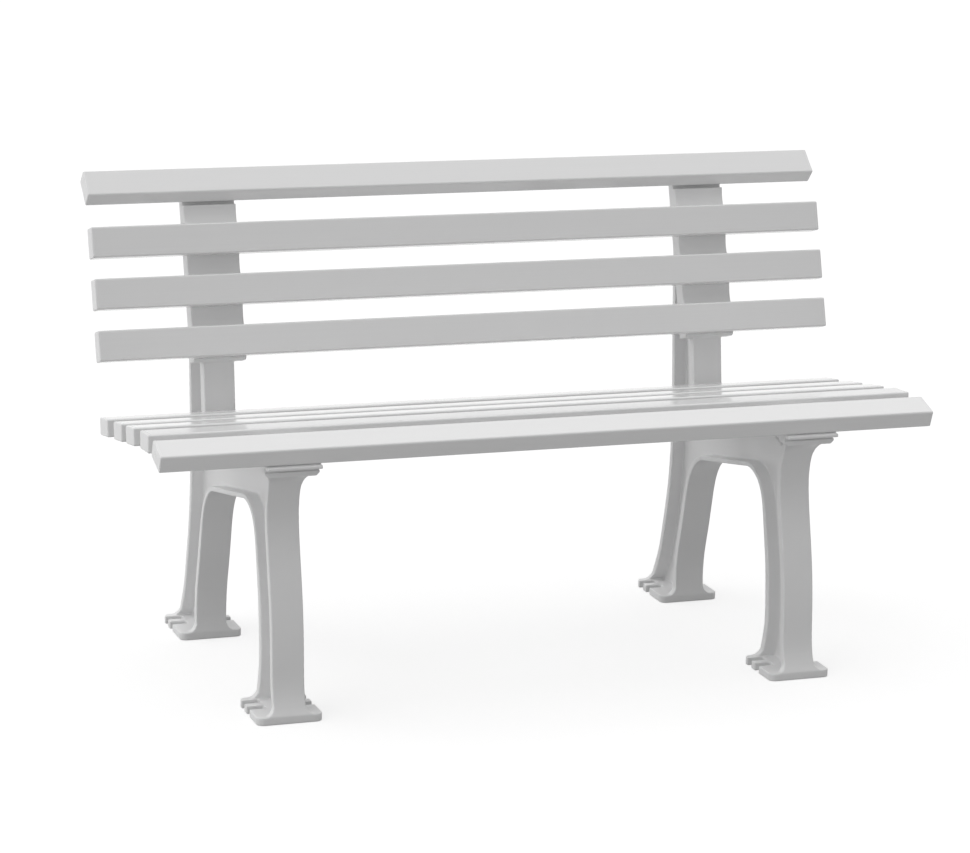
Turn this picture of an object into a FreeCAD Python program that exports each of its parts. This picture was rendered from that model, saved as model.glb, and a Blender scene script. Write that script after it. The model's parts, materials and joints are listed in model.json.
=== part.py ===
import FreeCAD, Part
import math
import os

import Sketcher
from FreeCAD import Placement, Rotation, Vector

# Garden bench: nine hollow plastic slats on two moulded side frames.
# Millimetres. X runs along the bench, Y from front to back, Z up from the floor.
# The origin is on the floor under the middle of the bench.

# Driving sizes
sizes = {
    # Slats
    "slat_length": 1202,
    "seat_slat_extra": 2.2,
    "front_slat_extra": 4.5,
    "slat_width": 47,
    "slat_thickness": 27,
    "slat_wall": 2.6,
    "slat_edge_radius": 3,
    # End caps
    "cap_thickness": 4,
    "cap_edge_radius": 2,
    "cap_plug_length": 16,
    "cap_plug_wall": 2,
    "cap_clearance": 0.3,
    # Steel tubes inside the seat slats
    "stiffener_clearance": 0.6,
    "stiffener_wall": 1.5,
    "stiffener_end_gap": 12,
    # Seat line: slopes in degrees, distances along the seat
    "seat_height": 412.6,
    "nose_slope": 18.5,
    "nose_gap": 36,
    "nose_step": 2,
    "lead_slope": 4.2,
    "seat_slope": 8.9,
    "lead_gap": 38.3,
    "middle_gap": 28.3,
    "rear_gap": 38.9,
    # Back rest
    "back_lean": 17,
    "back_setback": 6,
    "back_rise": 83.9,
    "back_gap": 31.4,
    "rail_slope": 42,
    "rail_gap": 34.8,
    "rail_setback": 1.2,
    # Side frames
    "frame_inset": 194.1,
    "flange_width": 48.8,
    "web_thickness": 7,
    "front_flange": 12,
    "arch_flange": 13,
    "beam_flange": 7,
    "rear_flange": 11,
    "post_flange": 22,
    # Seat pad of a side frame, with a level lip in front of the land for the front slat
    "seat_pad_width": 83,
    "seat_pad_thickness": 6.5,
    "lip_reach": 6.5,
    "lip_drop": 0.5,
    "lip_thickness": 5.5,
    "land_setback": 3,
    # Front bracket under the lip
    "bracket_width": 82,
    "bracket_setback": 7.7,
    "bracket_depth": 13,
    "bracket_flare": 33,
    "bracket_chamfer": 5,
    "groove_height": 5,
    "groove_depth": 3.5,
    # Back pad of a side frame
    "back_pad_width": 83,
    "back_pad_thickness": 7,
    "back_pad_depth": 28,
    "back_pad_drop": 3.5,
    "back_pad_skirt": 5,
    "pad_scoop": 2.5,
    "ledge_drop": 2,
    "ledge_setback": 3,
    "rail_groove_height": 3.5,
    "rail_groove_depth": 9,
    "rail_pad_end": 3,
    # Post between seat and back: its setback behind the pad, where it meets the seat pad,
    # and how far its rounded top falls behind the rail
    "post_setback": 11,
    "post_foot_reach": 33,
    "post_foot_rise": 8,
    "rail_rest_share": 0.8,
    "post_top_reach": 24,
    "post_top_drop": 22,
    "post_crown_reach": 15,
    "post_crown_drop": 6,
    "post_line_start": 50,
    "knee_setback": 59.5,
    # Arch between the legs
    "beam_height": 96.5,
    "arch_slope": 11,
    "arch_front": 85.5,
    "arch_rear": 83,
    # Feet
    "front_foot_start": 6,
    "front_foot_length": 102,
    "rear_foot_start": 67,
    "rear_foot_length": 110,
    "foot_width": 100,
    "foot_thickness": 12,
    "foot_flare": 15,
    "foot_rim": 12,
    "foot_corner_radius": 11,
    "foot_slot_end": 22,
    "foot_slot_spacing": 27.5,
    "foot_slot_width": 14,
    "foot_slot_depth": 26,
    # Shallow slot in the inner face of each web, with a round hole at its front end
    "mark_along": 93,
    "mark_down": 95.4,
    "mark_length": 22,
    "mark_width": 3,
    "mark_depth": 5,
    "mark_hole": 6,
    # Screws
    "screw_spread": 60,
    "screw_reach": 16,
    "shank_diameter": 4.8,
    "head_diameter": 9,
    "head_taper": 0.7,
    "head_height": 3,
    "head_margin": 2,
    "screw_clearance": 0.2,
    "front_screw_line": 36,
    # How far a cut runs past the face that it opens
    "overrun": 0.5,
}

# Curved outlines of a side frame. Each pair is a distance and a share of a height.
# Front of the front leg: distance behind the foot's front, share of the bracket's height
front_leg_line = ((14, 0.13), (18.5, 0.25), (26.5, 0.44), (34.5, 0.545))
front_leg_line += ((52, 0.75), (55, 0.83), (51.5, 0.9), (42, 0.955))
# Rear of the front leg: distance behind the front foot, share of the arch's height
arch_front_line = ((-5.5, 0.1), (-13.5, 0.21), (-12.5, 0.38), (-6, 0.56))
arch_front_line += ((3.5, 0.7), (13.5, 0.84), (28.5, 0.942), (55.5, 0.998))
# Front of the rear leg: distance behind the foot's front, share of the arch's height
arch_rear_line = ((-58, 0.957), (-42, 0.895), (-30, 0.805), (-20.5, 0.66))
arch_rear_line += ((-11, 0.49), (1, 0.3), (3.5, 0.17))
# Rear of the post: distance ahead of its top, share of the height above the seat
post_line = ((5, 0.88), (17, 0.645), (24, 0.375))
# Rear of the rear leg: distance behind the knee, share of the seat's height
rear_leg_line = ((2, 0.87), (0, 0.6), (8, 0.43), (20, 0.29), (33, 0.17), (49, 0.085))

os.makedirs("parts", exist_ok=True)
doc = FreeCAD.newDocument("Bench")
sheet = doc.addObject("Spreadsheet::Sheet", "Sizes")
for row, (alias, number) in enumerate(sizes.items(), start=1):
    sheet.set("A%d" % row, alias)
    sheet.set("B%d" % row, str(number))
    sheet.setAlias("B%d" % row, alias)
doc.recompute()


def size(alias):
    return float(sheet.get(alias))


def half(alias):
    return size(alias) / 2


# Slats as lines in the side view
# A slat is held by the corner where its front edge meets its top face, and by the
# angle that its top face climbs towards the back.


def on_slat(slat, along, down):
    y, z, angle = slat
    cosine = math.cos(math.radians(angle))
    sine = math.sin(math.radians(angle))
    return (y + along * cosine + down * sine, z + along * sine - down * cosine)


def next_slat(slat, gap, angle, step_angle):
    y, z = on_slat(slat, size("slat_width"), 0)
    turn = math.radians(step_angle)
    return (y + gap * math.cos(turn), z + gap * math.sin(turn), angle)


width = size("slat_width")
thickness = size("slat_thickness")

front_slat = (0, size("seat_height"), size("nose_slope"))
nose_back = on_slat(front_slat, width, 0)
lead_corner = (nose_back[0] + size("nose_gap"), nose_back[1] - size("nose_step"))
lead_slat = (*lead_corner, -size("lead_slope"))
slope = -size("seat_slope")
seat_slats = [lead_slat]
for gap_name in ("lead_gap", "middle_gap", "rear_gap"):
    seat_slats.append(next_slat(seat_slats[-1], size(gap_name), slope, slope))
seat_end = on_slat(seat_slats[-1], width, 0)

back_angle = 90 - size("back_lean")
back_slats = [(seat_end[0] + size("back_setback"), seat_end[1] + size("back_rise"), back_angle)]
for count in range(2):
    back_slats.append(next_slat(back_slats[-1], size("back_gap"), back_angle, back_angle))

# The lower front corner of the top rail stands over the rear face of the back slats.
rail_corner = on_slat(back_slats[-1], width + size("rail_gap"), thickness + size("rail_setback"))
top_rail = on_slat((*rail_corner, size("rail_slope")), 0, -thickness)
top_rail = (*top_rail, size("rail_slope"))

# Feet in the side view
front_foot = size("front_foot_start")
front_foot_end = front_foot + size("front_foot_length")
rear_foot = seat_end[0] + size("rear_foot_start")
rear_foot_end = rear_foot + size("rear_foot_length")
foot_top = size("foot_thickness")

# The bench is centred front to back between its nose and its rear feet.
nose_turn = math.radians(size("nose_slope"))
nose_front = size("slat_edge_radius") * (math.cos(nose_turn) + math.sin(nose_turn) - 1)
bench_middle = (nose_front + rear_foot_end) / 2


# Sketch helpers


def new_body(label):
    body = doc.addObject("PartDesign::Body", label)
    body.Label = label
    return body


def new_sketch(body, name, role, offset=Placement()):
    sketch = body.newObject("Sketcher::SketchObject", name)
    plane = [feature for feature in body.Origin.OriginFeatures if feature.Role == role][0]
    sketch.AttachmentSupport = [(plane, "")]
    sketch.MapMode = "FlatFace"
    sketch.AttachmentOffset = offset
    return sketch


def rectangle(sketch, left, bottom, across, up):
    # Four lines; the corner and both lengths are expressions of the sheet's cells.
    x = sketch.evalExpression(left)
    y = sketch.evalExpression(bottom)
    wide = sketch.evalExpression(across)
    high = sketch.evalExpression(up)
    corners = [Vector(x, y, 0), Vector(x + wide, y, 0)]
    corners += [Vector(x + wide, y + high, 0), Vector(x, y + high, 0)]
    first = sketch.GeometryCount
    for count in range(4):
        sketch.addGeometry(Part.LineSegment(corners[count], corners[(count + 1) % 4]))
    for count in range(4):
        sketch.addConstraint(
            Sketcher.Constraint("Coincident", first + count, 2, first + (count + 1) % 4, 1)
        )
    for count, kind in enumerate(("Horizontal", "Vertical", "Horizontal", "Vertical")):
        sketch.addConstraint(Sketcher.Constraint(kind, first + count))
    bound = (
        (Sketcher.Constraint("DistanceX", -1, 1, first, 1, x), left),
        (Sketcher.Constraint("DistanceY", -1, 1, first, 1, y), bottom),
        (Sketcher.Constraint("DistanceX", first, 1, first, 2, wide), across),
        (Sketcher.Constraint("DistanceY", first + 1, 1, first + 1, 2, high), up),
    )
    for constraint, expression in bound:
        number = sketch.addConstraint(constraint)
        sketch.setExpression("Constraints[%d]" % number, expression)


def circle(sketch, x, y, diameter):
    # A circle whose place and diameter are expressions of the sheet's cells.
    centre = Vector(sketch.evalExpression(x), sketch.evalExpression(y), 0)
    radius = sketch.evalExpression(diameter) / 2
    number = sketch.addGeometry(Part.Circle(centre, Vector(0, 0, 1), radius))
    bound = (
        (Sketcher.Constraint("DistanceX", -1, 1, number, 3, centre.x), x),
        (Sketcher.Constraint("DistanceY", -1, 1, number, 3, centre.y), y),
        (Sketcher.Constraint("Diameter", number, radius * 2), diameter),
    )
    for constraint, expression in bound:
        index = sketch.addConstraint(constraint)
        sketch.setExpression("Constraints[%d]" % index, expression)


def outline(sketch, runs):
    # Each run starts where the one before ended: two points make a line, more a curve.
    for run in runs:
        points = [Vector(a, b, 0) for a, b in run]
        if len(points) == 2:
            sketch.addGeometry(Part.LineSegment(*points))
        else:
            curve = Part.BSplineCurve()
            curve.interpolate(points)
            sketch.addGeometry(curve)


def polygon(points):
    return [(points[count - 1], points[count]) for count in range(len(points))]


def set_length(feature, length):
    # A length is an expression of the sheet's cells, or a number worked out from them.
    if isinstance(length, str):
        feature.setExpression("Length", length)
    else:
        feature.Length = length


def pad(body, sketch, name, length, symmetric=False, back=False):
    feature = body.newObject("PartDesign::Pad", name)
    feature.Profile = sketch
    set_length(feature, length)
    feature.Midplane = symmetric
    feature.Reversed = back
    return feature


def pocket(body, sketch, name, length, back=False):
    # A pocket cuts against its sketch's normal, or along it when it is turned back.
    feature = body.newObject("PartDesign::Pocket", name)
    feature.Profile = sketch
    set_length(feature, length)
    feature.Reversed = back
    return feature


def edges_where(feature, test):
    doc.recompute()
    names = []
    for number, edge in enumerate(feature.Shape.Edges, start=1):
        if test(edge):
            names.append("Edge%d" % number)
    return names


def fillet(body, base, name, radius, test):
    feature = body.newObject("PartDesign::Fillet", name)
    feature.Base = (base, edges_where(base, test))
    feature.setExpression("Radius", radius)
    return feature


def along_x(edge):
    if edge.Curve.TypeId != "Part::GeomLine":
        return False
    return abs(edge.Curve.Direction.x) > 0.999


def placed(slat, x=0.0):
    # Place of a slat, or of a piece drawn in a slat's own frame.
    y, z, angle = slat
    return Placement(Vector(x, y - bench_middle, z), Rotation(Vector(1, 0, 0), angle))


def volume_falls(body, feature, before):
    doc.recompute()
    if not feature.Shape.Volume < before - 1:
        raise RuntimeError("%s cuts nothing in %s" % (feature.Name, body.Label))


# Distance from the middle of the bench to the middle of a side frame
frame_place = "Sizes.slat_length / 2 - Sizes.frame_inset"
frame_x = sheet.evalExpression(frame_place)

bodies = []

# Hollow slats, their end caps and the steel tubes inside the seat slats


def tube_section(body, inset, name):
    # Rounded tube drawn in the slat's frame, `inset` inside the slat's outer faces.
    sketch = new_sketch(body, name, "YZ_Plane")
    rectangle(
        sketch,
        inset,
        "-Sizes.slat_thickness + (%s)" % inset,
        "Sizes.slat_width - 2 * (%s)" % inset,
        "Sizes.slat_thickness - 2 * (%s)" % inset,
    )
    return sketch


def screw_holes(body, name, line, floor, depth):
    # Holes up into the underside, one pair over each side frame.
    sketch = new_sketch(body, name, "XY_Plane")
    sketch.setExpression("AttachmentOffset.Base.z", floor)
    for side in ("-", ""):
        for half_side in ("-", "+"):
            across = "%s(%s) %s Sizes.screw_spread / 2" % (side, frame_place, half_side)
            circle(sketch, across, line, "Sizes.shank_diameter + 2 * Sizes.screw_clearance")
    return pocket(body, sketch, name + "_cut", depth, back=True)


def make_slat(label, slat, length, line):
    body = new_body(label)
    outer = pad(
        body,
        tube_section(body, "0", "section"),
        "bar",
        "%s - 2 * Sizes.cap_thickness" % length,
        symmetric=True,
    )
    rounded = fillet(body, outer, "rounded_edges", "Sizes.slat_edge_radius", along_x)
    doc.recompute()
    solid = rounded.Shape.Volume
    bore = new_sketch(body, "bore", "YZ_Plane")
    bore.setExpression("AttachmentOffset.Base.z", "%s / 2" % length)
    wall = "Sizes.slat_wall"
    rectangle(
        bore,
        wall,
        "-Sizes.slat_thickness + %s" % wall,
        "Sizes.slat_width - 2 * %s" % wall,
        "Sizes.slat_thickness - 2 * %s" % wall,
    )
    hollow = pocket(body, bore, "bore_cut", length)
    volume_falls(body, hollow, solid)
    floor = "-Sizes.slat_thickness"
    holes = screw_holes(body, "screw_holes", line, floor, "Sizes.slat_wall + Sizes.overrun")
    volume_falls(body, holes, hollow.Shape.Volume)
    body.Placement = placed(slat)
    bodies.append(body)


def make_cap(label, slat, length, side):
    # Flat plate with a softened rim, and a hollow plug that enters the slat.
    body = new_body(label)
    plate = pad(
        body,
        tube_section(body, "0", "rim"),
        "plate",
        "Sizes.cap_thickness",
        back=side < 0,
    )
    corners = fillet(body, plate, "corners", "Sizes.slat_edge_radius", along_x)
    doc.recompute()
    outer = side * size("cap_thickness")
    rim = fillet(
        body,
        corners,
        "softened_rim",
        "Sizes.cap_edge_radius",
        lambda edge: all(abs(vertex.X - outer) < 0.01 for vertex in edge.Vertexes),
    )
    plug_inset = "Sizes.slat_wall + Sizes.cap_clearance"
    plug_section = tube_section(body, plug_inset, "plug_section")
    plug = pad(body, plug_section, "plug", "Sizes.cap_plug_length", back=side > 0)
    doc.recompute()
    bore = new_sketch(body, "plug_bore", "YZ_Plane")
    inset = "(%s + Sizes.cap_plug_wall)" % plug_inset
    rectangle(
        bore,
        inset,
        "-Sizes.slat_thickness + %s" % inset,
        "Sizes.slat_width - 2 * %s" % inset,
        "Sizes.slat_thickness - 2 * %s" % inset,
    )
    hollow = pocket(body, bore, "plug_bore_cut", "Sizes.cap_plug_length", back=side < 0)
    volume_falls(body, hollow, plug.Shape.Volume)
    body.Placement = placed(slat, side * (sheet.evalExpression(length) / 2 - size("cap_thickness")))
    bodies.append(body)


def make_stiffener(label, slat, length, line):
    # The tube rests on the floor of the slat's bore, where the screws pull it down.
    body = new_body(label)
    inset = "(Sizes.slat_wall + Sizes.stiffener_clearance)"
    bar = pad(
        body,
        tube_section(body, inset, "section"),
        "bar",
        "%s - 2 * (Sizes.cap_thickness + Sizes.cap_plug_length + Sizes.stiffener_end_gap)" % length,
        symmetric=True,
    )
    rounded = fillet(body, bar, "rounded_edges", "Sizes.stiffener_wall", along_x)
    doc.recompute()
    solid = rounded.Shape.Volume
    bore = new_sketch(body, "bore", "YZ_Plane")
    bore.setExpression("AttachmentOffset.Base.z", "%s / 2" % length)
    wall = "(Sizes.slat_wall + Sizes.stiffener_clearance + Sizes.stiffener_wall)"
    rectangle(
        bore,
        wall,
        "-Sizes.slat_thickness + %s" % wall,
        "Sizes.slat_width - 2 * %s" % wall,
        "Sizes.slat_thickness - 2 * %s" % wall,
    )
    hollow = pocket(body, bore, "bore_cut", length)
    volume_falls(body, hollow, solid)
    floor = "-Sizes.slat_thickness + %s" % inset
    holes = screw_holes(body, "screw_holes", line, floor, "Sizes.stiffener_wall + Sizes.overrun")
    volume_falls(body, holes, hollow.Shape.Volume)
    y, z = on_slat(slat, 0, size("stiffener_clearance"))
    body.Placement = placed((y, z, slat[2]))
    bodies.append(body)


centre_line = "Sizes.slat_width / 2"
seat_length = "(Sizes.slat_length + 2 * Sizes.seat_slat_extra)"
front_length = "(Sizes.slat_length + 2 * Sizes.front_slat_extra)"
slats = [("front_slat", front_slat, front_length, "Sizes.front_screw_line")]
for number, slat in enumerate(seat_slats, start=1):
    slats.append(("seat_slat_%d" % number, slat, seat_length, centre_line))
seat_set = list(slats)
back_set = []
for number, slat in enumerate(back_slats, start=1):
    back_set.append(("back_slat_%d" % number, slat, "Sizes.slat_length", centre_line))
back_set.append(("top_rail", top_rail, "Sizes.slat_length", centre_line))
slats += back_set

for label, slat, length, line in slats:
    make_slat(label, slat, length, line)
    make_cap(label + "_cap_left", slat, length, -1)
    make_cap(label + "_cap_right", slat, length, 1)
for label, slat, length, line in seat_set:
    make_stiffener(label + "_stiffener", slat, length, line)

# Outline of a side frame in the side view


def lerp(start, end, share):
    return start + (end - start) * share


def offset(points, distance):
    # The same run of points moved sideways, to the left of its direction when positive.
    moved = []
    for number, (y, z) in enumerate(points):
        before = points[max(number - 1, 0)]
        after = points[min(number + 1, len(points) - 1)]
        run_y = after[0] - before[0]
        run_z = after[1] - before[1]
        length = math.hypot(run_y, run_z)
        moved.append((y - run_z / length * distance, z + run_y / length * distance))
    return moved


def meet(a, b, c, d):
    # Where the line through a and b crosses the line through c and d.
    ab = (b[0] - a[0], b[1] - a[1])
    cd = (d[0] - c[0], d[1] - c[1])
    share = ((c[0] - a[0]) * cd[1] - (c[1] - a[1]) * cd[0]) / (ab[0] * cd[1] - ab[1] * cd[0])
    return (a[0] + ab[0] * share, a[1] + ab[1] * share)


def lines_through(points):
    # The straight runs from each point to the next.
    return [(points[count], points[count + 1]) for count in range(len(points) - 1)]


# Underside of the seat slats: the frame's seat pad follows it from nose to rear slat.
rest_line = []
rest_lower = []
for slat in [front_slat] + seat_slats:
    for along in (0, width):
        rest_line.append(on_slat(slat, along, thickness))
        rest_lower.append(on_slat(slat, along, thickness + size("seat_pad_thickness")))

# Level lip in front of the land, and the bracket's face and groove under it
nose_edge = rest_line[0]
land = on_slat(front_slat, size("land_setback"), thickness)
lip_top = (nose_edge[0] - size("lip_reach"), nose_edge[1] - size("lip_drop"))
land_foot = (land[0], lip_top[1])
lip_low = (lip_top[0], lip_top[1] - size("lip_thickness"))
lip_back = meet(lip_low, (nose_edge[0], lip_low[1]), rest_lower[0], rest_lower[1])
bracket_face = nose_edge[0] + size("bracket_setback")
groove_face = bracket_face + size("groove_depth")
bracket_tip = (bracket_face, lip_low[1] - size("bracket_depth"))
bracket_top = (bracket_face, lip_low[1] - size("groove_height"))
groove_low = (groove_face, bracket_top[1])
groove_high = meet(groove_low, (groove_face, nose_edge[1]), rest_line[0], rest_line[1])

# Front edge of the front leg, from the foot up to the tip of the bracket
leg_front = [(front_foot, foot_top)]
for back, share in front_leg_line:
    leg_front.append((front_foot + back, bracket_tip[1] * share))
leg_front.append(bracket_tip)

# Arch between the legs: up the front leg, back under the beam, down the rear leg
beam_line = rest_line[4]
arch_top = (front_foot_end + size("arch_front"), beam_line[1] - size("beam_height"))
arch_run = (rear_foot - size("arch_rear")) - arch_top[0]
arch_fall = arch_run * math.tan(math.radians(size("arch_slope")))
arch_end = (arch_top[0] + arch_run, arch_top[1] - arch_fall)
arch_front = [(front_foot_end, foot_top)]
for back, share in arch_front_line:
    arch_front.append((front_foot_end + back, arch_top[1] * share))
arch_front.append(arch_top)
arch_rear = [arch_end]
for back, share in arch_rear_line:
    arch_rear.append((rear_foot + back, arch_end[1] * share))
arch_rear.append((rear_foot, foot_top))

# Back pad: it follows the rear face of the back slats, with a shallow scoop between two
# slats and under the rail, and a groove right under the rail.
back_base = back_slats[0]
pad_bottom = -size("back_pad_drop")
pad_low = on_slat(back_base, pad_bottom, thickness)
lean = math.radians(size("back_lean"))
rail_rest = on_slat(top_rail, 0, thickness)
rail_line = (rail_rest, on_slat(top_rail, width, thickness))
rail_back = on_slat(top_rail, width * size("rail_rest_share"), thickness)
climb = (rail_rest[1] - pad_low[1]) / math.cos(lean) + pad_bottom
shoulder_along = climb - size("rail_groove_height")
pad_shoulder = on_slat(back_base, shoulder_along, thickness)
shoulder_in = on_slat(back_base, shoulder_along, thickness + size("rail_groove_depth"))
groove_end = on_slat(back_base, climb, thickness + size("rail_groove_depth"))
groove_roof = meet(shoulder_in, groove_end, *rail_line)
pitch = width + size("back_gap")
pad_runs = [(pad_low, on_slat(back_base, width, thickness))]
for count in range(len(back_slats)):
    scoop_start = count * pitch + width
    last = count == len(back_slats) - 1
    scoop_end = shoulder_along if last else (count + 1) * pitch
    scoop_middle = (scoop_start + scoop_end) / 2
    pad_runs.append((
        on_slat(back_base, scoop_start, thickness),
        on_slat(back_base, scoop_middle, thickness + size("pad_scoop")),
        on_slat(back_base, scoop_end, thickness),
    ))
    if not last:
        next_end = scoop_end + width
        pad_runs.append((pad_runs[-1][-1], on_slat(back_base, next_end, thickness)))
pad_runs += lines_through([pad_shoulder, shoulder_in, groove_roof])

# Front face of the post between seat and back pad
post_top = on_slat(back_base, pad_bottom, thickness + size("post_setback"))
post_foot = (rest_line[-1][0] + size("post_foot_reach"), rest_line[-1][1] + size("post_foot_rise"))

# Rear edge of the post and rear leg, from the rail down to the foot
rear_top = (rail_back[0] + size("post_top_reach"), rail_back[1] - size("post_top_drop"))
post_crown = (rail_back[0] + size("post_crown_reach"), rail_back[1] - size("post_crown_drop"))
post_rear = [rail_back, post_crown, rear_top]
for ahead, share in post_line:
    height = lerp(seat_end[1] - size("post_line_start"), rear_top[1], share)
    post_rear.append((rear_top[0] - ahead, height))
knee = rear_foot_end - size("knee_setback")
for back, share in rear_leg_line:
    post_rear.append((knee + back, seat_end[1] * share))
post_rear.append((rear_foot_end, foot_top))

frame_runs = [leg_front]
frame_runs += lines_through([bracket_tip, bracket_top, groove_low, groove_high] + rest_line[1:])
frame_runs += lines_through([rest_line[-1], post_foot, post_top, pad_low])
frame_runs += pad_runs + [(groove_roof, rail_back), post_rear]
frame_runs += lines_through([(rear_foot_end, foot_top), (rear_foot_end, 0), (rear_foot, 0)])
frame_runs += [((rear_foot, 0), (rear_foot, foot_top)), arch_rear[::-1], (arch_end, arch_top)]
frame_runs += [arch_front[::-1]]
frame_runs += lines_through([(front_foot_end, foot_top), (front_foot_end, 0), (front_foot, 0)])
frame_runs += [((front_foot, 0), (front_foot, foot_top))]


# Recess between the flanges of a side frame, which leaves the web


def seated(points):
    # The same run with its ends dropped or lifted onto the top of the feet.
    return [(points[0][0], foot_top)] + points[1:-1] + [(points[-1][0], foot_top)]


def thinned(thick, thin):
    # The arch's flange is thick along the legs and thins over the upper half of the arch.
    run = []
    for leg_point, beam_point in zip(thick, thin):
        share = min(max(leg_point[1] / arch_top[1] * 2 - 1, 0), 1)
        run.append(tuple(lerp(a, b, share) for a, b in zip(leg_point, beam_point)))
    return run


pad_deep = thickness + size("back_pad_depth")
rail_plate = thickness + size("back_pad_thickness")
rail_under = (on_slat(top_rail, 0, rail_plate), on_slat(top_rail, width, rail_plate))
pad_deep_low = on_slat(back_base, pad_bottom, pad_deep)
pad_deep_high = meet(pad_deep_low, on_slat(back_base, width, pad_deep), *rail_under)
# The channel inside the pad steps back under the groove, so that the wall stays as thick.
step_along = shoulder_along - size("back_pad_thickness")
step_deep = rail_plate + size("rail_groove_depth")

recess_start = size("front_screw_line") - half("head_diameter") - size("head_margin")
recess_front = on_slat(front_slat, recess_start, thickness + size("seat_pad_thickness"))
inner_front = offset(leg_front, -size("front_flange"))[:-2]
inner_front[0] = (inner_front[0][0], foot_top)
arch_line = arch_front + arch_rear
inner_arch = thinned(offset(arch_line, size("arch_flange")), offset(arch_line, size("beam_flange")))
inner_arch = seated(inner_arch)
inner_post = offset([post_foot, post_top], -size("post_flange"))
inner_rear = offset(post_rear, -size("rear_flange"))[2:]
inner_rear[-1] = (inner_rear[-1][0], foot_top)
recess_top = meet(inner_rear[0], inner_rear[1], *rail_under)

beam_turn = len(arch_front)
recess_points = [inner_front[-1], (recess_front[0], bracket_tip[1]), recess_front] + rest_lower[1:]
recess_points += inner_post + [pad_deep_low, pad_deep_high, recess_top, inner_rear[0]]
recess_runs = [inner_front] + lines_through(recess_points)
recess_runs += [inner_rear, (inner_rear[-1], inner_arch[-1]), inner_arch[beam_turn:][::-1]]
recess_runs += [(inner_arch[beam_turn], inner_arch[beam_turn - 1])]
recess_runs += [inner_arch[:beam_turn][::-1], (inner_arch[0], inner_front[0])]


def quarter(wide, narrow, start, rise):
    # Hollow quarter of an ellipse from the narrow end at `start`, `rise` away in height.
    points = []
    for step in range(7):
        turn = math.radians(15 * step)
        points.append((wide - (wide - narrow) * math.cos(turn), start + rise * math.sin(turn)))
    return points


def cut_sides(body, name, start, depth, flares, top):
    # Trims both sides of the blank to the flange width, with its flares.
    sketch = new_sketch(body, name, "XZ_Plane", Placement(Vector(0, 0, -start), Rotation()))
    far = size("foot_width") / 2 + size("seat_pad_width")
    corners = [flares[-1][-1], (flares[-1][-1][0], top), (far, top), (far, foot_top), flares[0][0]]
    for side in (-1, 1):
        runs = list(flares)
        if len(flares) > 1:
            runs.insert(1, (flares[0][-1], flares[1][0]))
        runs += [(corners[count], corners[count + 1]) for count in range(4)]
        outline(sketch, [[(side * x, z) for x, z in run] for run in runs])
    return pocket(body, sketch, name + "_cut", depth)


def across_pad(body, name, runs, width_cell):
    sketch = new_sketch(body, name, "YZ_Plane")
    outline(sketch, runs)
    return pad(body, sketch, name + "_pad", width_cell, symmetric=True)


def frame_holes(body, name, slat, line, plate):
    # One pair of screw holes straight through the plate that a slat rests on.
    y, z = on_slat(slat, 0, thickness)
    place = Placement(Vector(0, y, z), Rotation(Vector(1, 0, 0), slat[2]))
    sketch = new_sketch(body, name, "XY_Plane", place)
    for half_side in ("-", ""):
        across = half_side + "Sizes.screw_spread / 2"
        circle(sketch, across, line, "Sizes.shank_diameter + 2 * Sizes.screw_clearance")
    return pocket(body, sketch, name + "_cut", plate + " + Sizes.overrun")


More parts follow.
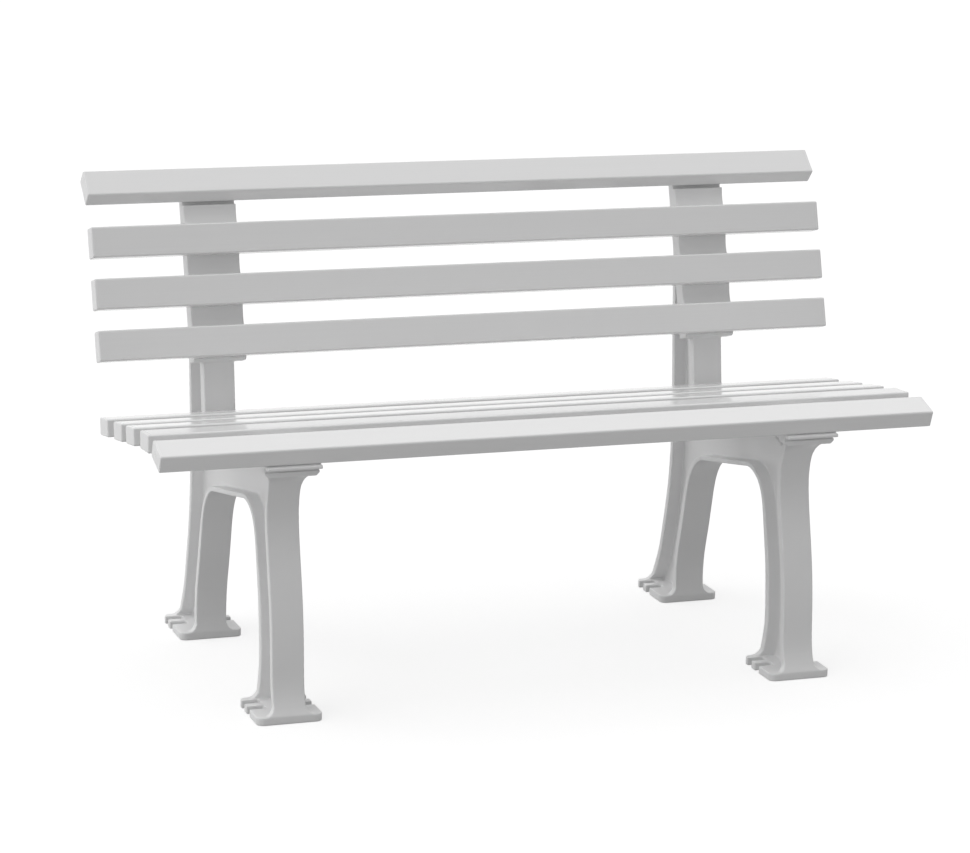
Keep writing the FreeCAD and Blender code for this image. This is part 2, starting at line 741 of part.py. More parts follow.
def make_left_frame(label):
    body = new_body(label)
    narrow = half("flange_width")
    profile = new_sketch(body, "side_outline", "YZ_Plane")
    outline(profile, frame_runs)
    pad(body, profile, "blank", "Sizes.foot_width", symmetric=True)

    rim = half("foot_width") - size("foot_rim")
    foot_curve = quarter(rim, narrow, foot_top + size("foot_flare"), -size("foot_flare"))[::-1]
    flare = size("bracket_flare")
    chamfer = size("bracket_chamfer")
    under = half("bracket_width") - chamfer
    bracket_curve = quarter(under, narrow, bracket_tip[1] - flare, flare)
    chamfer_line = [bracket_curve[-1], (under + chamfer, bracket_tip[1] + chamfer)]
    middle = (arch_top[0] + arch_end[0]) / 2
    seat_height_limit = size("seat_height") + width
    rear_height_limit = rail_back[1] + width
    front_flares = [foot_curve, bracket_curve, chamfer_line]
    cut_sides(body, "front_sides", 0, middle, front_flares, seat_height_limit)
    cut_sides(body, "rear_sides", middle, rear_foot_end, [foot_curve], rear_height_limit)

    seat_pad = [lip_back, lip_low, lip_top, land_foot, land] + rest_line[1:] + rest_lower[:0:-1]
    across_pad(body, "seat_pad", polygon(seat_pad), "Sizes.seat_pad_width")
    ledge_bottom = pad_bottom - size("ledge_drop")
    ledge_depth = thickness + size("ledge_setback")
    pad_back = [groove_roof, meet(pad_deep_low, pad_deep_high, *rail_line)]
    pad_back += [on_slat(back_base, ledge_bottom, deep) for deep in (pad_deep, ledge_depth)]
    pad_back += [on_slat(back_base, pad_bottom, ledge_depth), pad_low]
    across_pad(body, "back_pad", pad_runs + lines_through(pad_back), "Sizes.back_pad_width")
    rail_ends = (math.dist(rail_rest, groove_roof), width - size("rail_pad_end"))
    rail_corners = [on_slat(top_rail, along, thickness) for along in rail_ends]
    rail_corners += [on_slat(top_rail, along, rail_plate) for along in rail_ends[::-1]]
    across_pad(body, "rail_pad", polygon(rail_corners), "Sizes.back_pad_width")

    for turn in (-1, 1):
        name = "recess_left" if turn < 0 else "recess_right"
        sketch = new_sketch(body, name, "YZ_Plane")
        sketch.setExpression("AttachmentOffset.Base.z", "%d * Sizes.web_thickness / 2" % turn)
        outline(sketch, recess_runs)
        pocket(body, sketch, name + "_cut", "Sizes.foot_width", back=turn > 0)

        name = "channel_left" if turn < 0 else "channel_right"
        sketch = new_sketch(body, name, "YZ_Plane")
        sketch.setExpression("AttachmentOffset.Base.z", "%d * Sizes.web_thickness" % turn)
        channel = [on_slat(back_base, size("back_pad_skirt"), deep) for deep in (pad_deep, rail_plate)]
        channel += [on_slat(back_base, step_along, deep) for deep in (rail_plate, step_deep)]
        channel += [meet(channel[-1], on_slat(back_base, climb, step_deep), *rail_under), pad_deep_high]
        outline(sketch, polygon(channel))
        reach = "Sizes.back_pad_width / 2 - Sizes.back_pad_skirt - Sizes.web_thickness"
        pocket(body, sketch, name + "_cut", reach, back=turn > 0)

    slot_height = "Sizes.foot_thickness + Sizes.foot_flare"
    slot_edges = ["-Sizes.foot_width / 2 - Sizes.overrun"]
    slot_edges.append("Sizes.foot_width / 2 - Sizes.foot_slot_depth")
    for name, foot_end in (("front", front_foot_end), ("rear", rear_foot_end)):
        sketch = new_sketch(body, name + "_foot_slots", "XY_Plane")
        for count in range(2):
            along = foot_end - size("foot_slot_end") - count * size("foot_slot_spacing")
            for edge in slot_edges:
                rectangle(
                    sketch,
                    edge,
                    "%r - Sizes.foot_slot_width / 2" % along,
                    "Sizes.foot_slot_depth + Sizes.overrun",
                    "Sizes.foot_slot_width",
                )
        pocket(body, sketch, name + "_foot_slots_cut", slot_height, back=True)

    for name, slat, length, line in seat_set:
        frame_holes(body, name + "_holes", slat, line, "Sizes.seat_pad_thickness")
    for name, slat, length, line in back_set:
        frame_holes(body, name + "_holes", slat, line, "Sizes.back_pad_thickness")

    foot_ends = (front_foot, front_foot_end, rear_foot, rear_foot_end)

    def foot_corner(edge):
        if edge.Curve.TypeId != "Part::GeomLine" or abs(edge.Curve.Direction.z) < 0.999:
            return False
        place = edge.CenterOfMass
        at_side = abs(abs(place.x) - half("foot_width")) < 0.01
        return at_side and min(abs(place.y - end) for end in foot_ends) < 0.01

    fillet(body, body.Tip, "foot_corners", "Sizes.foot_corner_radius", foot_corner)

    # The left frame's inner face looks along +X.
    sketch = new_sketch(body, "mark", "YZ_Plane")
    sketch.setExpression("AttachmentOffset.Base.z", "Sizes.web_thickness / 2")
    mark = []
    for end, edge in ((-1, -1), (1, -1), (1, 1), (-1, 1)):
        along = size("mark_along") + end * size("mark_length") / 2
        down = size("mark_down") + edge * size("mark_width") / 2
        mark.append(on_slat(front_slat, along, down))
    outline(sketch, polygon(mark))
    pocket(body, sketch, "mark_cut", "Sizes.mark_depth")
    hole = new_sketch(body, "mark_hole", "YZ_Plane")
    hole.setExpression("AttachmentOffset.Base.z", "Sizes.web_thickness / 2")
    hole_along = size("mark_along") - half("mark_length")
    hole_y, hole_z = on_slat(front_slat, hole_along, size("mark_down"))
    circle(hole, "%r" % hole_y, "%r" % hole_z, "Sizes.mark_hole")
    pocket(body, hole, "mark_hole_cut", "Sizes.mark_depth")

    body.Placement = Placement(Vector(-frame_x, -bench_middle, 0), Rotation())
    bodies.append(body)
    return body


left_frame = make_left_frame("side_frame_left")
right_frame = doc.addObject("Part::Mirroring", "side_frame_right")
right_frame.Source = left_frame
right_frame.Normal = Vector(1, 0, 0)
right_frame.Label = "side_frame_right"
bodies.append(right_frame)

# Screws: pan heads under the pads, shanks up into the slats


def make_screws(label, side, rows, plate):
    screws = []
    for name, slat, length, line in rows:
        along = sheet.evalExpression(line)
        y, z = on_slat(slat, along, thickness + size(plate))
        for turn in (-1, 1):
            x = side * frame_x + turn * half("screw_spread")
            place = Placement(Vector(x, y - bench_middle, z), Rotation(Vector(1, 0, 0), slat[2]))
            shank = doc.addObject("Part::Cylinder", label + "_shank")
            shank.setExpression("Radius", "Sizes.shank_diameter / 2")
            shank.setExpression("Height", "Sizes.%s + Sizes.screw_reach" % plate)
            head = doc.addObject("Part::Cone", label + "_head")
            head.setExpression("Radius1", "Sizes.head_diameter / 2 * Sizes.head_taper")
            head.setExpression("Radius2", "Sizes.head_diameter / 2")
            head.setExpression("Height", "Sizes.head_height")
            head.setExpression("Placement.Base.z", "-Sizes.head_height")
            screw = doc.addObject("Part::Fuse", label + "_screw")
            screw.Base = head
            screw.Tool = shank
            screw.Placement = place
            screws.append(screw)
    group = doc.addObject("Part::Compound", label)
    group.Label = label
    group.Links = screws
    bodies.append(group)


for side, word in ((-1, "left"), (1, "right")):
    make_screws("seat_screws_" + word, side, seat_set, "seat_pad_thickness")
    make_screws("back_screws_" + word, side, back_set, "back_pad_thickness")

# Check and write every piece

doc.recompute()
for item in doc.Objects:
    if "Invalid" in item.State or "Error" in item.State:
        raise RuntimeError("%s (%s) did not build" % (item.Label, item.Name))
for body in bodies:
    shape = body.Shape
    if shape.isNull() or not shape.isValid():
        raise RuntimeError("%s has no valid shape" % body.Label)
    print("%-28s solids %2d  volume %10.1f" % (body.Label, len(shape.Solids), shape.Volume))
    shape.exportStep("parts/%s.step" % body.Label)
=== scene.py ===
import bpy
import bmesh
import json
import math
from mathutils import Matrix, Vector

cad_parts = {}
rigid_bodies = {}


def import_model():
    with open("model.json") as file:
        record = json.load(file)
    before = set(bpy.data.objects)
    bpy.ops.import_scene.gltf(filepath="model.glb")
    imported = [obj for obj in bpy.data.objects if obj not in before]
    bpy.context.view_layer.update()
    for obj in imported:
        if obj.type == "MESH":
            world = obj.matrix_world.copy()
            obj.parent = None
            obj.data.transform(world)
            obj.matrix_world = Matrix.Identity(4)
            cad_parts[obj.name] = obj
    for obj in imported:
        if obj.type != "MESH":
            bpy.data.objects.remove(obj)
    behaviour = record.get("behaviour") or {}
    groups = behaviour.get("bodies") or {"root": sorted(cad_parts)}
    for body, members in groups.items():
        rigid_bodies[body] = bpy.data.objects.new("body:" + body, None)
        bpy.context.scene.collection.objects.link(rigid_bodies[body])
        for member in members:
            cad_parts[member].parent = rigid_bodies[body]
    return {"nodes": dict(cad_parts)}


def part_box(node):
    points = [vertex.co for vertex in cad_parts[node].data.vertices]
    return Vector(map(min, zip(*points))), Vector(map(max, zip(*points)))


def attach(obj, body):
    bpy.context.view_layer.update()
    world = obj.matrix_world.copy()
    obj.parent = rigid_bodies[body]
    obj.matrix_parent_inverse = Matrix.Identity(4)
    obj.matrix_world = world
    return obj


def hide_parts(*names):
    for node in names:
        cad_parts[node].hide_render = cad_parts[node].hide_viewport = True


# White garden bench: hollow slats with end caps, screwed to two moulded side frames
for leftover in list(bpy.data.objects):
    bpy.data.objects.remove(leftover)
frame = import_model()
bpy.context.view_layer.update()
nodes = frame["nodes"]
scene = bpy.context.scene
print("loaded", len(nodes), "parts")


# small helpers for node trees
def addNode(tree, kind, place=(0, 0), **settings):
    node = tree.nodes.new(kind)
    node.location = place
    for name, value in settings.items():
        setattr(node, name, value)
    return node


def link(tree, source, target):
    tree.links.new(source, target)


def newGroup(name, kind, inputs, outputs):
    group = bpy.data.node_groups.new(name, kind)
    for label, socketType, value in inputs:
        socket = group.interface.new_socket(name=label, in_out="INPUT", socket_type=socketType)
        if value is not None:
            socket.default_value = value
    for label, socketType in outputs:
        group.interface.new_socket(name=label, in_out="OUTPUT", socket_type=socketType)
    start = addNode(group, "NodeGroupInput", (-900, 0))
    end = addNode(group, "NodeGroupOutput", (900, 0))
    return group, start, end


# effects that several materials share
def makeMottle():
    # soft clouds of tone and gloss, as on any moulded or drawn plastic
    group, start, end = newGroup(
        "mottle", "ShaderNodeTree",
        [("Vector", "NodeSocketVector", None), ("Cloud Scale", "NodeSocketFloat", 6.0),
         ("Speck Scale", "NodeSocketFloat", 900.0), ("Speck Share", "NodeSocketFloat", 0.2)],
        [("Cloud", "NodeSocketFloat"), ("Speck", "NodeSocketFloat"), ("Mix", "NodeSocketFloat")])
    cloud = addNode(group, "ShaderNodeTexNoise", (-500, 200))
    cloud.inputs["Detail"].default_value = 4.0
    cloud.inputs["Roughness"].default_value = 0.55
    speck = addNode(group, "ShaderNodeTexNoise", (-500, -100))
    speck.inputs["Detail"].default_value = 2.0
    blend = addNode(group, "ShaderNodeMix", (0, 100), data_type="FLOAT")
    link(group, start.outputs["Vector"], cloud.inputs["Vector"])
    link(group, start.outputs["Cloud Scale"], cloud.inputs["Scale"])
    link(group, start.outputs["Vector"], speck.inputs["Vector"])
    link(group, start.outputs["Speck Scale"], speck.inputs["Scale"])
    link(group, start.outputs["Speck Share"], blend.inputs[0])
    link(group, cloud.outputs["Fac"], blend.inputs[2])
    link(group, speck.outputs["Fac"], blend.inputs[3])
    link(group, cloud.outputs["Fac"], end.inputs["Cloud"])
    link(group, speck.outputs["Fac"], end.inputs["Speck"])
    link(group, blend.outputs[0], end.inputs["Mix"])
    return group


def makeDrawLines():
    # faint lines along the slats, left by the die that the profile is drawn through
    group, start, end = newGroup(
        "drawLines", "ShaderNodeTree",
        [("Vector", "NodeSocketVector", None), ("Lines per Metre", "NodeSocketFloat", 700.0),
         ("Run", "NodeSocketFloat", 1.2)],
        [("Line", "NodeSocketFloat"), ("Wave", "NodeSocketFloat")])
    parts = addNode(group, "ShaderNodeSeparateXYZ", (-700, 0))
    join = addNode(group, "ShaderNodeCombineXYZ", (-300, 100))
    alongX = addNode(group, "ShaderNodeMath", (-500, 200), operation="MULTIPLY")
    acrossY = addNode(group, "ShaderNodeMath", (-500, 0), operation="MULTIPLY")
    upZ = addNode(group, "ShaderNodeMath", (-500, -200), operation="MULTIPLY")
    link(group, start.outputs["Vector"], parts.inputs[0])
    for socket, mathNode, factor in (("X", alongX, "Run"), ("Y", acrossY, "Lines per Metre"),
                                     ("Z", upZ, "Lines per Metre")):
        link(group, parts.outputs[socket], mathNode.inputs[0])
        link(group, start.outputs[factor], mathNode.inputs[1])
    for index, mathNode in enumerate((alongX, acrossY, upZ)):
        link(group, mathNode.outputs[0], join.inputs[index])
    line = addNode(group, "ShaderNodeTexNoise", (-50, 100))
    line.inputs["Scale"].default_value = 1.0
    line.inputs["Detail"].default_value = 3.0
    link(group, join.outputs[0], line.inputs["Vector"])
    wave = addNode(group, "ShaderNodeTexNoise", (-50, -200))
    wave.inputs["Scale"].default_value = 4.0
    wave.inputs["Detail"].default_value = 1.0
    link(group, start.outputs["Vector"], wave.inputs["Vector"])
    link(group, line.outputs["Fac"], end.inputs["Line"])
    link(group, wave.outputs["Fac"], end.inputs["Wave"])
    return group


mottle = makeMottle()
drawLines = makeDrawLines()


def newMaterial(name, **values):
    material = bpy.data.materials.new(name)
    material.use_nodes = True
    tree = material.node_tree
    tree.nodes.clear()
    output = addNode(tree, "ShaderNodeOutputMaterial", (900, 0))
    shader = addNode(tree, "ShaderNodeBsdfPrincipled", (600, 0))
    link(tree, shader.outputs[0], output.inputs[0])
    for socket, value in values.items():
        shader.inputs[socket].default_value = value
    coords = addNode(tree, "ShaderNodeTexCoord", (-900, 0))
    return material, tree, shader, coords


def mixColor(tree, factor, low, high, place=(400, 300)):
    blend = addNode(tree, "ShaderNodeMix", place, data_type="RGBA")
    blend.inputs[6].default_value = (*low, 1)
    blend.inputs[7].default_value = (*high, 1)
    link(tree, factor, blend.inputs[0])
    return blend.outputs[2]


def mapValue(tree, source, low, high, place=(200, -50), fromLow=0.3, fromHigh=0.7):
    # noise keeps mostly between 0.3 and 0.7, so that span is stretched
    span = addNode(tree, "ShaderNodeMapRange", place)
    span.inputs["From Min"].default_value = fromLow
    span.inputs["From Max"].default_value = fromHigh
    span.inputs["To Min"].default_value = low
    span.inputs["To Max"].default_value = high
    link(tree, source, span.inputs["Value"])
    return span.outputs[0]


def bumpOf(tree, height, distance, place=(200, -300), normal=None):
    bump = addNode(tree, "ShaderNodeBump", place)
    bump.inputs["Distance"].default_value = distance
    bump.inputs["Strength"].default_value = 1.0
    link(tree, height, bump.inputs["Height"])
    if normal is not None:
        link(tree, normal, bump.inputs["Normal"])
    return bump.outputs[0]


def addMottle(tree, vector, finish):
    clouds = addNode(tree, "ShaderNodeGroup", (-500, -200), node_tree=mottle)
    clouds.inputs["Cloud Scale"].default_value = finish["cloudScale"]
    clouds.inputs["Speck Scale"].default_value = finish["speckScale"]
    clouds.inputs["Speck Share"].default_value = finish["speckShare"]
    link(tree, vector, clouds.inputs["Vector"])
    return clouds


def paintTone(tree, shader, tone, finish):
    # one pattern drives both, so that the paler places are the glossier ones
    color = mixColor(tree, mapValue(tree, tone, 0, 1), finish["dim"], finish["pale"])
    link(tree, color, shader.inputs["Base Color"])
    roughness = mapValue(tree, tone, finish["roughHigh"], finish["roughLow"])
    link(tree, roughness, shader.inputs["Roughness"])


# materials
slatFinish = {
    "pale": (0.83, 0.83, 0.83),
    "dim": (0.812, 0.812, 0.814),
    "roughLow": 0.07,
    "roughHigh": 0.14,
    "cloudScale": 9.0,
    "speckScale": 900.0,
    "speckShare": 0.35,
    "cloudShare": 0.45,
    "lineDepth": 0.000006,
    "waveDepth": 0.0003,
}


def makeSlatPlastic():
    material, tree, shader, coords = newMaterial("slatPlastic")
    lines = addNode(tree, "ShaderNodeGroup", (-500, 100), node_tree=drawLines)
    link(tree, coords.outputs["Object"], lines.inputs["Vector"])
    clouds = addMottle(tree, coords.outputs["Object"], slatFinish)
    tone = addNode(tree, "ShaderNodeMix", (-200, 200), data_type="FLOAT")
    tone.inputs[0].default_value = slatFinish["cloudShare"]
    link(tree, lines.outputs["Line"], tone.inputs[2])
    link(tree, clouds.outputs["Mix"], tone.inputs[3])
    paintTone(tree, shader, tone.outputs[0], slatFinish)
    fine = bumpOf(tree, lines.outputs["Line"], slatFinish["lineDepth"])
    wavy = bumpOf(tree, lines.outputs["Wave"], slatFinish["waveDepth"], (400, -300), fine)
    link(tree, wavy, shader.inputs["Normal"])
    return material


frameFinish = {
    "pale": (0.83, 0.83, 0.83),
    "dim": (0.81, 0.81, 0.813),
    "roughLow": 0.34,
    "roughHigh": 0.46,
    "cloudScale": 14.0,
    "speckScale": 1400.0,
    "speckShare": 0.4,
    "grainDepth": 0.00004,
    "sinkDepth": 0.0003,
}

capFinish = {
    "pale": (0.83, 0.83, 0.83),
    "dim": (0.80, 0.80, 0.805),
    "roughLow": 0.26,
    "roughHigh": 0.36,
    "cloudScale": 40.0,
    "speckScale": 1800.0,
    "speckShare": 0.4,
    "grainDepth": 0.00003,
    "sinkDepth": 0.0002,
}


def makeMoulded(name, finish):
    # satin plastic with a fine grain and faint sink marks
    material, tree, shader, coords = newMaterial(name)
    clouds = addMottle(tree, coords.outputs["Object"], finish)
    paintTone(tree, shader, clouds.outputs["Mix"], finish)
    fine = bumpOf(tree, clouds.outputs["Speck"], finish["grainDepth"])
    sunk = bumpOf(tree, clouds.outputs["Cloud"], finish["sinkDepth"], (400, -300), fine)
    link(tree, sunk, shader.inputs["Normal"])
    return material


steelFinish = {
    "pale": (0.62, 0.62, 0.63),
    "dim": (0.42, 0.42, 0.43),
    "roughLow": 0.28,
    "roughHigh": 0.5,
    "cloudScale": 60.0,
    "speckScale": 2500.0,
    "speckShare": 0.6,
    "screwStretch": (1, 1, 1),
    "tubeStretch": (0.05, 1, 1),
    "grainDepth": 0.00005,
}


def makeSteel(name, stretch):
    material, tree, shader, coords = newMaterial(name, Metallic=1.0)
    turn = addNode(tree, "ShaderNodeMapping", (-700, 0))
    turn.inputs["Scale"].default_value = stretch
    link(tree, coords.outputs["Object"], turn.inputs["Vector"])
    clouds = addMottle(tree, turn.outputs[0], steelFinish)
    paintTone(tree, shader, clouds.outputs["Mix"], steelFinish)
    grain = bumpOf(tree, clouds.outputs["Speck"], steelFinish["grainDepth"])
    link(tree, grain, shader.inputs["Normal"])
    return material


slatPlastic = makeSlatPlastic()
framePlastic = makeMoulded("framePlastic", frameFinish)
capPlastic = makeMoulded("capPlastic", capFinish)
screwSteel = makeSteel("screwSteel", steelFinish["screwStretch"])
tubeSteel = makeSteel("tubeSteel", steelFinish["tubeStretch"])
print("materials ready")

# parts that stay as packed get their finish
slotLooks = {
    "slat_plastic": slatPlastic,
    "frame_plastic": framePlastic,
    "cap_plastic": capPlastic,
    "steel_screw": screwSteel,
    "steel_tube": tubeSteel,
}
for part in nodes.values():
    for materialSlot in part.material_slots:
        materialSlot.material = slotLooks[materialSlot.material.name.split(".")[0]]


# slats
slatLooks = {
    "width": 0.047,
    "thickness": 0.027,
    "edgeRadius": 0.003,
    "cornerSteps": 7,
    "sharpAngle": 40,
}
# how far each slat's top face climbs towards the back, in degrees
slatTilts = {
    "front_slat": 18.5,
    "seat_slat_1": -4.2,
    "seat_slat_2": -8.9,
    "seat_slat_3": -8.9,
    "seat_slat_4": -8.9,
    "back_slat_1": 73.0,
    "back_slat_2": 73.0,
    "back_slat_3": 73.0,
    "top_rail": 42.0,
}


def slatPoints():
    # one point per slat, with the slat's tilt and its length between the caps
    mesh = bpy.data.meshes.new("slatPoints")
    places, tilts, lengths = [], [], []
    for name, tilt in slatTilts.items():
        low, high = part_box(name)
        places.append((low + high) / 2)
        tilts.append(math.radians(tilt))
        lengths.append(high.x - low.x)
    mesh.from_pydata([tuple(place) for place in places], [], [])
    for label, values in (("tilt", tilts), ("slatLength", lengths)):
        layer = mesh.attributes.new(label, "FLOAT", "POINT")
        layer.data.foreach_set("value", values)
    return mesh


def makeSlatTree():
    group, start, end = newGroup(
        "slatTree", "GeometryNodeTree",
        [("Points", "NodeSocketGeometry", None), ("Width", "NodeSocketFloat", slatLooks["width"]),
         ("Thickness", "NodeSocketFloat", slatLooks["thickness"]),
         ("Edge Radius", "NodeSocketFloat", slatLooks["edgeRadius"]),
         ("Corner Steps", "NodeSocketInt", slatLooks["cornerSteps"]),
         ("Material", "NodeSocketMaterial", None)],
        [("Geometry", "NodeSocketGeometry")])
    section = addNode(group, "GeometryNodeCurvePrimitiveQuadrilateral", (-700, 300))
    rounded = addNode(group, "GeometryNodeFilletCurve", (-500, 300), mode="POLY")
    run = addNode(group, "GeometryNodeCurvePrimitiveLine", (-700, 0))
    run.inputs["Start"].default_value = (-0.5, 0, 0)
    run.inputs["End"].default_value = (0.5, 0, 0)
    sweep = addNode(group, "GeometryNodeCurveToMesh", (-300, 200))
    sweep.inputs["Fill Caps"].default_value = True
    place = addNode(group, "GeometryNodeInstanceOnPoints", (0, 100))
    tilt = addNode(group, "GeometryNodeInputNamedAttribute", (-700, -300), data_type="FLOAT")
    tilt.inputs["Name"].default_value = "tilt"
    length = addNode(group, "GeometryNodeInputNamedAttribute", (-700, -500), data_type="FLOAT")
    length.inputs["Name"].default_value = "slatLength"
    turn = addNode(group, "ShaderNodeCombineXYZ", (-400, -300))
    stretch = addNode(group, "ShaderNodeCombineXYZ", (-400, -500))
    stretch.inputs[1].default_value = 1.0
    stretch.inputs[2].default_value = 1.0
    realize = addNode(group, "GeometryNodeRealizeInstances", (250, 100))
    paint = addNode(group, "GeometryNodeSetMaterial", (500, 100))
    link(group, start.outputs["Width"], section.inputs["Width"])
    link(group, start.outputs["Thickness"], section.inputs["Height"])
    link(group, section.outputs[0], rounded.inputs["Curve"])
    link(group, start.outputs["Edge Radius"], rounded.inputs["Radius"])
    link(group, start.outputs["Corner Steps"], rounded.inputs["Count"])
    link(group, run.outputs[0], sweep.inputs["Curve"])
    link(group, rounded.outputs[0], sweep.inputs["Profile Curve"])
    link(group, start.outputs["Points"], place.inputs["Points"])
    link(group, sweep.outputs[0], place.inputs["Instance"])
    link(group, tilt.outputs["Attribute"], turn.inputs[0])
    link(group, turn.outputs[0], place.inputs["Rotation"])
    link(group, length.outputs["Attribute"], stretch.inputs[0])
    link(group, stretch.outputs[0], place.inputs["Scale"])
    link(group, place.outputs[0], realize.inputs[0])
    link(group, realize.outputs[0], paint.inputs["Geometry"])
    link(group, start.outputs["Material"], paint.inputs["Material"])
    link(group, paint.outputs[0], end.inputs[0])
    return group


def runTree(name, mesh, tree, values):
    # puts the tree on the mesh, keeps its result as a plain mesh
    carrier = bpy.data.objects.new(name + "Carrier", mesh)
    scene.collection.objects.link(carrier)
    modifier = carrier.modifiers.new(name, "NODES")
    modifier.node_group = tree
    inputs = [item for item in tree.interface.items_tree if item.in_out == "INPUT"]
    sockets = {item.name: item.identifier for item in inputs}
    for label, value in values.items():
        modifier[sockets[label]] = value
    graph = bpy.context.evaluated_depsgraph_get()
    result = bpy.data.meshes.new_from_object(carrier.evaluated_get(graph))
    carrier.modifiers.clear()
    bpy.data.objects.remove(carrier)
    piece = bpy.data.objects.new(name, result)
    scene.collection.objects.link(piece)
    return piece


def bakeModifiers(piece):
    graph = bpy.context.evaluated_depsgraph_get()
    result = bpy.data.meshes.new_from_object(piece.evaluated_get(graph))
    piece.modifiers.clear()
    piece.data = result


def smoothByWeight(piece, angle):
    for face in piece.data.polygons:
        face.use_smooth = True
    piece.data.set_sharp_from_angle(angle=math.radians(angle))
    weighted = piece.modifiers.new("weighted", "WEIGHTED_NORMAL")
    weighted.keep_sharp = True
    bakeModifiers(piece)


def makeSlats():
    piece = runTree("slats", slatPoints(), makeSlatTree(), {
        "Width": slatLooks["width"], "Thickness": slatLooks["thickness"],
        "Edge Radius": slatLooks["edgeRadius"], "Corner Steps": slatLooks["cornerSteps"],
        "Material": slatPlastic})
    smoothByWeight(piece, slatLooks["sharpAngle"])
    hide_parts(*slatTilts)
    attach(piece, "root")
    return piece


slats = makeSlats()
print("slats", len(slats.data.polygons), "faces")


# side frames
frameLooks = {
    "voxel": 0.0012,
    "quickVoxel": 0.003,
    "smoothing": 5,
    "smoothFactor": 0.5,
    "mergeDistance": 0.000002,
    "mostTriangles": 180000,
}


def mergedCopy(nodeName, name):
    mesh = nodes[nodeName].data.copy()
    shape = bmesh.new()
    shape.from_mesh(mesh)
    bmesh.ops.remove_doubles(shape, verts=shape.verts, dist=frameLooks["mergeDistance"])
    shape.to_mesh(mesh)
    shape.free()
    piece = bpy.data.objects.new(name, mesh)
    scene.collection.objects.link(piece)
    return piece


def makeFrame(side):
    # the moulding with its edges and inner corners softened, as it comes out of the mould
    nodeName = "side_frame_" + side
    piece = mergedCopy(nodeName, "moulding_" + side)
    remesh = piece.modifiers.new("skin", "REMESH")
    remesh.mode = "VOXEL"
    remesh.voxel_size = frameLooks["voxel"]
    remesh.use_smooth_shade = True
    relax = piece.modifiers.new("relax", "SMOOTH")
    relax.factor = frameLooks["smoothFactor"]
    relax.iterations = frameLooks["smoothing"]
    bakeModifiers(piece)
    triangles = 2 * len(piece.data.polygons)
    if triangles > frameLooks["mostTriangles"]:
        thin = piece.modifiers.new("thin", "DECIMATE")
        thin.ratio = frameLooks["mostTriangles"] / triangles
        bakeModifiers(piece)
    piece.data.materials.clear()
    piece.data.materials.append(framePlastic)
    for face in piece.data.polygons:
        face.use_smooth = True
    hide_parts(nodeName)
    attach(piece, "root")
    print("moulding", side, triangles, "triangles,", len(piece.data.polygons), "faces kept")
    return piece


for side in ("left", "right"):
    makeFrame(side)


# studio
studio = {
    "floorTone": 0.42,
    "floorGlow": 0.68,
    "skyTone": 0.38,
    "skyWhite": 1.0,
    "topLight": 1.2,
    "topFrom": (0.0, 0.15, 1.0),
    "leftLight": 1.3,
    "leftFrom": (-1.0, 0.0, 0.25),
    "lampSpread": 90,
    "floorReach": 30.0,
}


def seenDirectly(tree):
    # 1 for rays from the camera, off gloss and through glass, else 0
    rays = addNode(tree, "ShaderNodeLightPath", (-600, -100))
    seen = addNode(tree, "ShaderNodeMath", (-400, -100), operation="MAXIMUM")
    seenToo = addNode(tree, "ShaderNodeMath", (-300, -200), operation="MAXIMUM")
    link(tree, rays.outputs["Is Camera Ray"], seen.inputs[0])
    link(tree, rays.outputs["Is Glossy Ray"], seen.inputs[1])
    link(tree, seen.outputs[0], seenToo.inputs[0])
    link(tree, rays.outputs["Is Transmission Ray"], seenToo.inputs[1])
    return seenToo.outputs[0]


def makeFloor():
    mesh = bpy.data.meshes.new("floor")
    reach = studio["floorReach"]
    corners = [(-reach, -reach, 0), (reach, -reach, 0), (reach, reach, 0), (-reach, reach, 0)]
    mesh.from_pydata(corners, [], [(0, 1, 2, 3)])
    floor = bpy.data.objects.new("floor", mesh)
    scene.collection.objects.link(floor)
    material = bpy.data.materials.new("floorWhite")
    material.use_nodes = True
    tree = material.node_tree
    tree.nodes.clear()
    output = addNode(tree, "ShaderNodeOutputMaterial", (600, 0))
    matt = addNode(tree, "ShaderNodeBsdfDiffuse", (0, 100))
    tone = studio["floorTone"]
    matt.inputs["Color"].default_value = (tone, tone, tone, 1)
    glow = addNode(tree, "ShaderNodeEmission", (0, -100))
    level = addNode(tree, "ShaderNodeMath", (-200, -100), operation="MULTIPLY")
    level.inputs[1].default_value = studio["floorGlow"]
    join = addNode(tree, "ShaderNodeAddShader", (300, 0))
    link(tree, seenDirectly(tree), level.inputs[0])
    link(tree, level.outputs[0], glow.inputs["Strength"])
    link(tree, matt.outputs[0], join.inputs[0])
    link(tree, glow.outputs[0], join.inputs[1])
    link(tree, join.outputs[0], output.inputs[0])
    floor.data.materials.append(material)


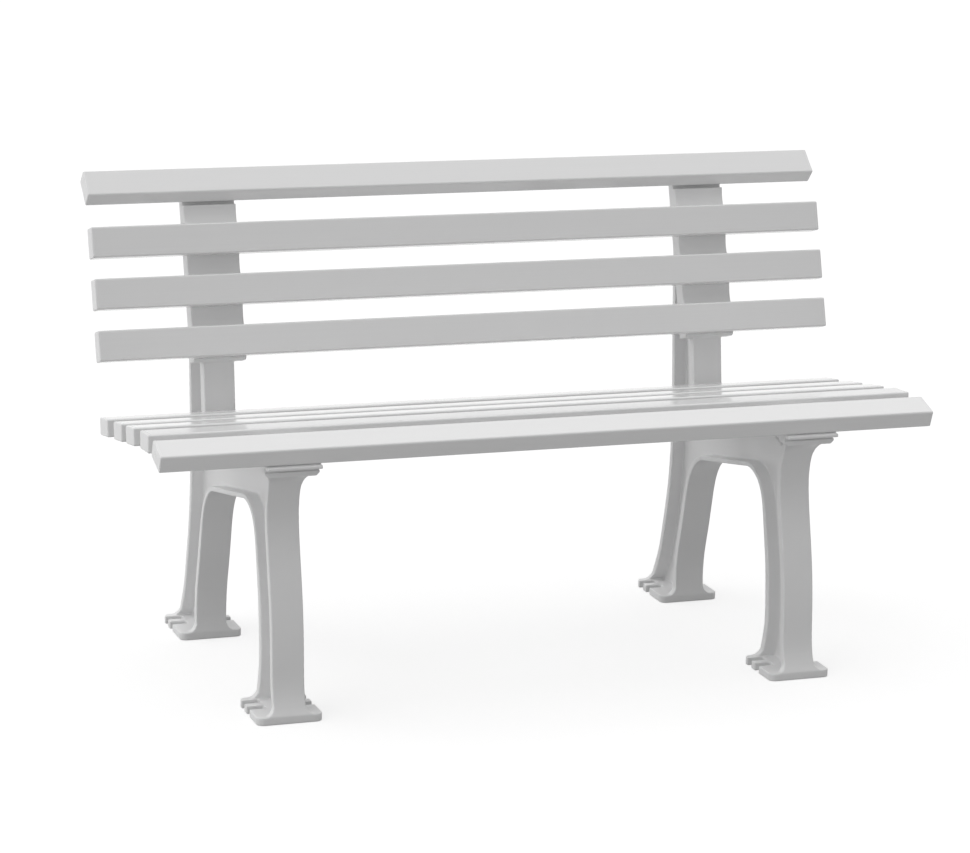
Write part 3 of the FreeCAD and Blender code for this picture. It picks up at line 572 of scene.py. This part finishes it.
def makeSky():
    world = bpy.data.worlds.new("studioAir")
    scene.world = world
    world.use_nodes = True
    tree = world.node_tree
    tree.nodes.clear()
    output = addNode(tree, "ShaderNodeOutputWorld", (600, 0))
    glow = addNode(tree, "ShaderNodeBackground", (300, 0))
    glow.inputs["Color"].default_value = (1, 1, 1, 1)
    level = addNode(tree, "ShaderNodeMapRange", (0, 0))
    level.inputs["To Min"].default_value = studio["skyTone"]
    level.inputs["To Max"].default_value = studio["skyWhite"]
    link(tree, seenDirectly(tree), level.inputs["Value"])
    link(tree, level.outputs[0], glow.inputs["Strength"])
    link(tree, glow.outputs[0], output.inputs[0])


def makeLamp(name, toLamp, strength):
    # a far lamp with a wide soft disc, so that the whole floor is lit alike
    lamp = bpy.data.lights.new(name, "SUN")
    lamp.energy = strength
    lamp.angle = math.radians(studio["lampSpread"])
    holder = bpy.data.objects.new(name, lamp)
    scene.collection.objects.link(holder)
    holder.rotation_euler = Vector(toLamp).to_track_quat("Z", "Y").to_euler()


makeFloor()
makeSky()
makeLamp("topLamp", studio["topFrom"], studio["topLight"])
makeLamp("leftLamp", studio["leftFrom"], studio["leftLight"])
print("studio ready")

# camera, placed as the photograph was taken
cameraPlace = {
    "position": (-1.785, -4.7924, 1.5961),
    "yaw": 20.21,
    "pitch": 13.61,
    "roll": 1.62,
    "lens": 126.8,
    "sensor": 36.0,
}


def makeCamera():
    yaw, pitch, roll = (math.radians(cameraPlace[turn]) for turn in ("yaw", "pitch", "roll"))
    level = math.cos(pitch)
    ahead = Vector((math.sin(yaw) * level, math.cos(yaw) * level, -math.sin(pitch)))
    right = Vector((math.cos(yaw), -math.sin(yaw), 0))
    up = right.cross(ahead)
    rightRolled = right * math.cos(roll) + up * math.sin(roll)
    upRolled = up * math.cos(roll) - right * math.sin(roll)
    camera = bpy.data.cameras.new("camera")
    camera.lens = cameraPlace["lens"]
    camera.sensor_width = cameraPlace["sensor"]
    camera.clip_start = 0.1
    camera.clip_end = 200
    holder = bpy.data.objects.new("camera", camera)
    scene.collection.objects.link(holder)
    turned = Matrix((rightRolled, upRolled, -ahead)).transposed().to_4x4()
    holder.matrix_world = Matrix.Translation(cameraPlace["position"]) @ turned
    scene.camera = holder


makeCamera()
scene.view_settings.view_transform = "Standard"
bpy.context.view_layer.update()
